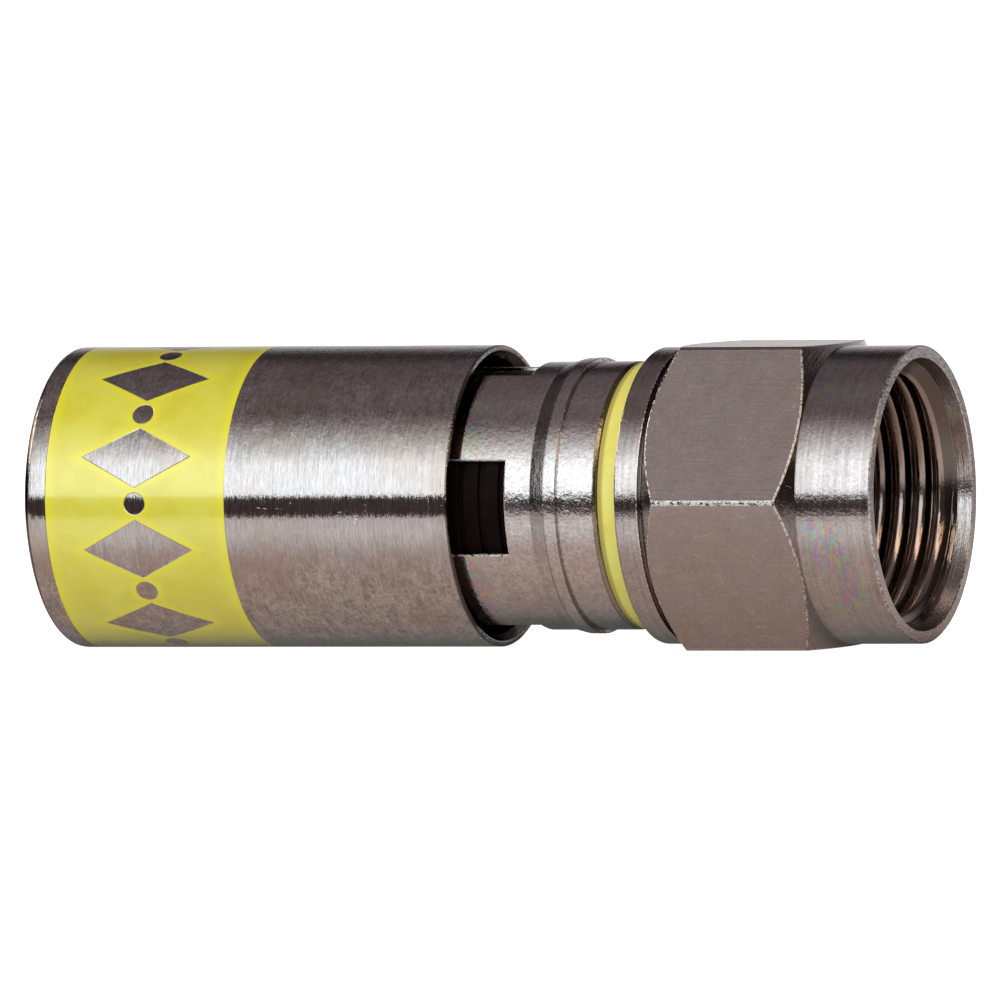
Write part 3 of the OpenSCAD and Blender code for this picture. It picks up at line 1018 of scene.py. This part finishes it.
def bareShapes(x, y, z):
    # how far a place is inside a lozenge or dot, below 0 outside, and how far from the band's middle
    step = math.tau * band["over"] / band["lozenges"]
    turn = x.maths("ARCTAN2", z, -y) * (band["lozenges"] / math.tau)
    along = abs(x - (band["rear"] + band["front"]) / 2)
    across = abs(x.maths("FRACT", turn) - 0.5) * step
    acrossDot = abs(x.maths("FRACT", turn + 0.5) - 0.5) * step
    lozenge = 1 - along * (2 / band["lozengeLength"]) - across * (2 / band["lozengeWidth"])
    dot = band["dotRadius"] - x.maths("SQRT", along * along + acrossDot * acrossDot)
    return x.maths("MAXIMUM", lozenge, dot), along


def makeBand():
    material, nodes = newFinish("Yellow lacquer")
    x, y, z = (nodes.axis(letter) * (1 / mm) for letter in "XYZ")
    inside, along = bareShapes(x, y, z)
    bare = inside.ramp(-0.03, 0.03)
    metalColour, metalRoughness, metalRelief = nickelSurface(nodes, sleeveLook)
    patches = nodes.noise(0.6, 0.6, detail=4.0, shift=7.0)
    waves = nodes.noise(1.6, 0.7, detail=3.0, shift=1.0)
    lacquer = nodes.mix(patches.ramp(0.42, 0.62), band["colour"], band["shade"])
    margin = (band["front"] - band["rear"]) / 2 - along
    rim = x.maths("MAXIMUM", inside.ramp(-0.4, -0.05), 1 - margin.ramp(0.1, 0.5))
    lacquer = nodes.mix(0.7 * rim, lacquer, band["rim"])
    height = band["waves"] * waves - bare
    relief = nodes.add(
        "Bump",
        {},
        {"Strength": 1.0, "Distance": band["depth"] * mm, "Height": height, "Normal": metalRelief},
    )
    surface = nodes.add(
        "BsdfPrincipled",
        {},
        {
            "Base Color": nodes.mix(bare, lacquer, metalColour),
            "Metallic": band["metallic"] + (1 - band["metallic"]) * bare,
            "Roughness": band["roughness"] * (1 - bare) + bare * metalRoughness,
            "Coat Weight": 1 - bare,
            "Coat Roughness": band["coatRoughness"],
            "Coat IOR": band["coatIor"],
            "Normal": relief,
        },
    )
    nodes.add("OutputMaterial", {}, {"Surface": surface})
    outline = [
        (band["rear"], band["under"]),
        (band["rear"], band["over"], 0.03),
        (band["front"], band["over"], 0.03),
        (band["front"], band["under"]),
    ]
    makePiece("LacqueredBand", turned(outline), material, "colour_band", "sleeve")


makeBand()

studio = {
    "fill": 0.4,  # the world's light on what is matt
    "floor": -5.56,
    "floorSize": 4000.0,
    "tentRadius": 300.0,
    "tentLength": 1400.0,
    # colour of the tent's light by the angle above the level, from the front over the top to the back
    "tentLight": [
        (-1, (1.66, 1.83, 1.97)),
        (26, (1.70, 1.87, 2.00)),
        (31, (1.46, 1.58, 1.68)),
        (39, (1.04, 1.11, 1.15)),
        (47, (0.72, 0.74, 0.76)),
        (55, (0.46, 0.44, 0.46)),
        (63, (0.225, 0.197, 0.205)),
        (71, (0.17, 0.147, 0.15)),
        (87, (0.20, 0.175, 0.18)),
        (103, (0.15, 0.125, 0.13)),
        (119, (0.14, 0.115, 0.125)),
        (127, (0.12, 0.10, 0.11)),
        (134, (0.045, 0.035, 0.04)),
        (143, (0.02, 0.017, 0.02)),
        (149, (0.09, 0.085, 0.09)),
        (157, (0.33, 0.31, 0.33)),
        (165, (0.50, 0.48, 0.50)),
        (173, (0.74, 0.72, 0.75)),
        (177, (0.92, 0.90, 0.92)),
        (181, (1.5, 1.5, 1.5)),
    ],
    # upright cards that only metal shows: both ends of the foot, lower and upper edge, and light;
    # a dark strip in front, the studio's dark ends, and bright cards for the glints on edges
    "cards": {
        "FrontStrip": ((-250, -17.5), (120, -17.5), -3.3, 0.85, (0.07, 0.055, 0.055)),
        "RightEnd": ((320, -320), (320, 320), -5, 320, (0.05, 0.04, 0.036)),
        "LeftEnd": ((-320, -320), (-320, 320), -5, 320, (0.05, 0.04, 0.04)),
        "RightGlint": ((90, -190), (240, -40), 120, 225, (2.4, 2.0, 1.65)),
        "MouthGlint": ((290, -150), (290, -80), 115, 155, (3.0, 2.3, 1.7)),
        "LeftGlint": ((-290, -110), (-290, 90), 70, 190, (4.0, 3.6, 3.2)),
    },
    # what metal shows of the floor by the distance from the part's foot, up to footReach: a painted shadow
    # that lightens away from the foot
    "footReach": 24.0,
    "shadeBehind": 0.08,
    "floorColour": (0.8, 0.8, 0.8, 1),
    "floorEnds": (0.05, 0.04, 0.035, 1),  # what metal shows of the floor beyond the part's ends
    "endsBeyond": (20, 60),  # how far beyond the ends that comes in, and how far in front it goes
    "endsBefore": (30, 70),
    "footLight": [
        (0, (0.10, 0.10, 0.095)),
        (1, (0.15, 0.145, 0.135)),
        (1.8, (0.25, 0.235, 0.225)),
        (2.6, (0.36, 0.30, 0.275)),
        (3.5, (0.43, 0.35, 0.315)),
        (6, (0.53, 0.44, 0.40)),
        (8, (0.57, 0.48, 0.45)),
        (9.5, (0.63, 0.56, 0.54)),
        (11.6, (0.77, 0.74, 0.74)),
        (15, (0.88, 0.86, 0.88)),
        (21, (0.82, 0.80, 0.82)),
    ],
    "lampSize": 400.0,
    "lampPlace": (-100, -280, 490),
    "lampEnergy": 1.25,
}


def stageObject(name, shape, material, seen=False, diffuse=True, shadow=False):
    mesh = bpy.data.meshes.new(name)
    shape.to_mesh(mesh)
    shape.free()
    mesh.materials.append(material)
    thing = bpy.data.objects.new(name, mesh)
    bpy.context.collection.objects.link(thing)
    thing.visible_camera = seen
    thing.visible_diffuse = diffuse
    thing.visible_shadow = shadow


def makeWorld():
    world = bpy.data.worlds.new("Studio")
    bpy.context.scene.world = world
    world.use_nodes = True
    nodes = Nodes(world.node_tree)
    seen = nodes.add("LightPath", {}, {}, output="Is Camera Ray")
    glossy = nodes.add("LightPath", {}, {}, output="Is Glossy Ray")
    through = nodes.add("LightPath", {}, {}, output="Is Transmission Ray")
    shown = seen.maths("MAXIMUM", seen, seen.maths("MAXIMUM", glossy, through))
    strength = studio["fill"] + (1 - studio["fill"]) * shown
    light = nodes.add("Background", {}, {"Color": (1, 1, 1, 1), "Strength": strength})
    nodes.add("OutputWorld", {}, {"Surface": light})


def makeFloor():
    # white to the camera but for the part's shadow, and darker by the part's foot where metal shows it
    material, nodes = newFinish("Pale floor")
    seen = nodes.add("LightPath", {}, {}, output="Is Camera Ray")
    glossy = nodes.add("LightPath", {}, {}, output="Is Glossy Ray")
    x, y = nodes.axis("X"), nodes.axis("Y")
    middle, half = (cadLow.x + cadHigh.x) / 2, (cadHigh.x - cadLow.x) / 2
    beyond = x.maths("MAXIMUM", 0, abs(x - middle) - half)
    # the part shades the floor behind it further out
    depth = x.maths("MAXIMUM", -y, y * studio["shadeBehind"])
    distance = x.maths("SQRT", beyond * beyond + depth * depth) * (1 / (studio["footReach"] * mm))
    stops = [(reach / studio["footReach"], light) for reach, light in studio["footLight"]]
    foot = nodes.add("ValToRGB", {"stops": stops}, {"Fac": distance})
    past, before = beyond * (1 / mm), -y * (1 / mm)
    ends = past.ramp(*studio["endsBeyond"]) * (1 - before.ramp(*studio["endsBefore"]))
    foot = nodes.mix(ends, foot, studio["floorEnds"])
    matt = nodes.add(
        "BsdfPrincipled",
        {},
        {
            "Base Color": studio["floorColour"],
            "Roughness": 0.9,
            "Specular IOR Level": 0.0,
            "Emission Color": (1, 1, 1, 1),
            "Emission Strength": seen,
        },
    )
    shown = nodes.add("Emission", {}, {"Color": foot, "Strength": 1.0})
    surface = nodes.add("MixShader", {}, {0: glossy, 1: matt, 2: shown})
    nodes.add("OutputMaterial", {}, {"Surface": surface})
    shape = bmesh.new()
    bmesh.ops.create_grid(shape, x_segments=1, y_segments=1, size=studio["floorSize"] * mm)
    bmesh.ops.translate(shape, vec=(0, 0, studio["floor"] * mm), verts=shape.verts)
    stageObject("Floor", shape, material, seen=True, shadow=True)


def makeTent():
    material, nodes = newFinish("Light tent")
    y, z = nodes.axis("Y"), nodes.axis("Z")
    height = y.maths("ARCTAN2", z, -y) * (1 / math.pi)
    # a stop's colour is half the light, and the glow doubles it again
    stops = []
    for angle, light in studio["tentLight"]:
        stops.append((min(1.0, max(0.0, angle / 180)), tuple(part / 2 for part in light)))
    light = nodes.add("ValToRGB", {"stops": stops}, {"Fac": height})
    glow = nodes.add("Emission", {}, {"Color": light, "Strength": 2.0})
    nodes.add("OutputMaterial", {}, {"Surface": glow})
    shape = bmesh.new()
    low, high = studio["tentLight"][0][0], studio["tentLight"][-1][0]
    foot = studio["tentRadius"] * radial(low)
    half = Vector((studio["tentLength"] / 2, 0, 0))
    shape.edges.new([shape.verts.new(mm * (foot - half)), shape.verts.new(mm * (foot + half))])
    bmesh.ops.spin(
        shape,
        geom=shape.verts[:] + shape.edges[:],
        cent=(0, 0, 0),
        axis=(-1, 0, 0),
        angle=math.radians(high - low),
        steps=72,
    )
    stageObject("LightTent", shape, material)


def makeCard(name, start, end, low, high, light):
    material, nodes = newFinish(name)
    glow = nodes.add("Emission", {}, {"Color": (*light, 1), "Strength": 1.0})
    nodes.add("OutputMaterial", {}, {"Surface": glow})
    shape = bmesh.new()
    corners = [(*start, low), (*end, low), (*end, high), (*start, high)]
    shape.faces.new([shape.verts.new(mm * Vector(corner)) for corner in corners])
    stageObject(name, shape, material, diffuse=False)


def makeLamp():
    # a soft lamp for what is matt; the metal shows the tent instead
    lamp = bpy.data.lights.new("SoftLamp", "AREA")
    lamp.size = studio["lampSize"] * mm
    lamp.energy = studio["lampEnergy"]
    thing = bpy.data.objects.new("SoftLamp", lamp)
    bpy.context.collection.objects.link(thing)
    thing.location = mm * Vector(studio["lampPlace"])
    thing.rotation_mode = "QUATERNION"
    thing.rotation_quaternion = thing.location.to_track_quat("Z", "Y")
    thing.visible_glossy = False


makeWorld()
makeFloor()
makeTent()
for name, card in studio["cards"].items():
    makeCard(name, *card)
makeLamp()

print("studio built")
